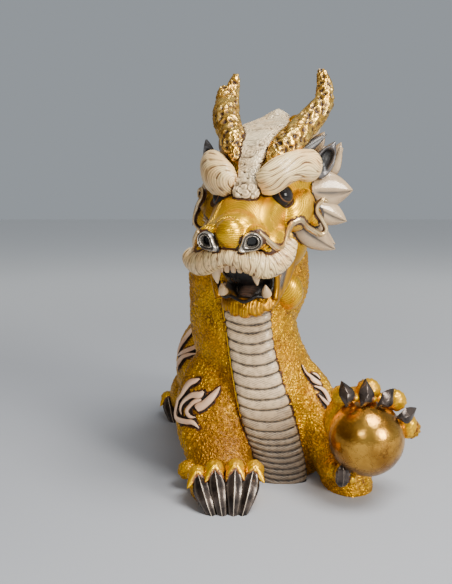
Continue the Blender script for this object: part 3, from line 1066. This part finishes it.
flames = []
for path in FLAMES:
    spots, out = on_skin([row[:3] for row in path])
    fat = np.array([row[3] for row in path])
    run = unit(np.gradient(spots, axis=0))
    form = carry(np.column_stack([spots + out, fat * 1.1, np.minimum(fat, 2.4)]), np.cross(out, run), 8, 26)
    flames.append(surface(form, dark=step(np.abs(np.cos(turns(26)))[None, :], 0.84, 0.97)))
flame_glaze = glazed("flame_cream", (0.85, 0.56, 0.36), (0.72, 0.43, 0.26), (0.02, 0.009, 0.005), roughness=0.28)
piece("flames", flames, flame_glaze)


# CREST. A row of pointed fins from the nape down the back to the tail, and the tuft at the
# tail's end, in the silver cream of the mane.
CREST = run_through([
    (16, 14, 284), (6, 34, 250), (-5, 52, 222), (-11, 66, 196), (-14, 72, 168), (-16, 74, 140),
    (-18, 84, 126), (-20, 104, 124), (-22, 132, 110), (-22, 156, 84), (-20, 176, 56), (-8, 195, 34),
    (14, 200, 24), (34, 193, 22)], 2)
skin_points = np.vstack([skin_points, head["points"]])
skin_normals = np.vstack([skin_normals, head["normals"] @ HEAD_AXES])
roots, out = on_skin(CREST)
fins = []
for i in range(2, len(CREST) - 1):
    run, size = unit(CREST[i + 1] - CREST[i - 1]), 1.0 - 0.4 * i / len(CREST)
    tip = roots[i] + (out[i] * 14 + run * 11) * size
    fins.append(veined(leaf_form(roots[i] - out[i] * 5, tip, np.cross(run, out[i]), 9.5 * size, 3.6 * size, 0, 6, 24)))
for root, tip, curl in (((48, 164, 11), (60, 130, 14), 2), ((50, 160, 13), (46, 126, 26), 3),
                        ((50, 166, 9), (66, 146, 9), -2)):
    fins.append(veined(leaf_form(root, tip, (0.6, 0.2, 1.0), 9, 6, curl)))
piece("crest", [on_ground(fin) for fin in fins], mane_glaze)


# INK. Before the last firing dark glaze is rubbed over the whole figure and wiped off: a
# line of it stays wherever one form meets another.
def beside(points, others, reach):
    """How close each point lies to another cloud: the share of shifted cube grids with both in one cube."""
    share, digits = np.zeros(len(points)), np.array([1, 4096, 4096 ** 2])
    for shift in itertools.product((0, 0.5), repeat=3):
        here, there = (np.floor(cloud / reach + shift).astype(np.int64) @ digits for cloud in (points, others))
        share += np.isin(here, there)
    return share / 8


def points_of(name):
    """A piece's points in millimetres."""
    mesh = bpy.data.objects[name].data
    points = np.empty(len(mesh.vertices) * 3)
    mesh.vertices.foreach_get("co", points)
    return points.reshape(-1, 3) / MM


def ink(name, others, reach, strength=1.0):
    """Darken a piece along its meeting with other pieces."""
    marks = bpy.data.objects[name].data.attributes["dark"].data
    dark = np.empty(len(marks))
    marks.foreach_get("value", dark)
    line = beside(points_of(name), np.vstack([points_of(other) for other in others]), reach)
    marks.foreach_set("value", np.maximum(dark, 2 * strength * step(line, 0.15, 0.7)))


ink("head", ["brows", "forehead", "moustache", "ribbons", "nostrils", "horns", "ears", "mane", "lids", "crest"], 1.9)
ink("brows", ["head", "forehead"], 1.5)
ink("forehead", ["head", "brows", "horns"], 1.5)
ink("horns", ["head", "forehead"], 1.3, 0.8)
ink("moustache", ["head", "nostrils"], 1.4)
ink("mane", ["head"], 1.5)
ink("body_front", ["belly_plates"], 1.6)
ink("body_front", ["flames", "claws", "jaw"], 2.6)
ink("body_front", ["knuckles"], 2.0, 0.4)
ink("body_rear", ["flames", "claws", "crest"], 2.8)
ink("knuckles", ["claws"], 1.3)
ink("flames", ["body_front", "body_rear"], 1.2)
ink("jaw", ["mouth"], 1.5)
ink("crest", ["body_rear", "body_front"], 1.6)


# FLOOR. A plain pale floor, greyer round the figure, stands under it all. The sizes before
# and after dressing are written down.
FLOOR_HALF = 6000.0
ends = [-FLOOR_HALF, FLOOR_HALF]
ground = np.stack(np.meshgrid(ends, ends, indexing="xy") + [np.zeros((2, 2))], -1)
floor = bpy.data.objects.new("floor", fill_mesh("floor", [surface(ground, False, False)]))
paint = Glaze("floor", Roughness=0.6)
far = paint.put("ShaderNodeVectorMath", {"operation": "LENGTH"}, {0: paint.place()}, "Value").step(0.25, 1.6)
floor.data.materials.append(paint.finish(Base_Color=paint.mix(far, (0.40, 0.415, 0.45), (0.88, 0.90, 0.92))))
scene.collection.objects.link(floor)
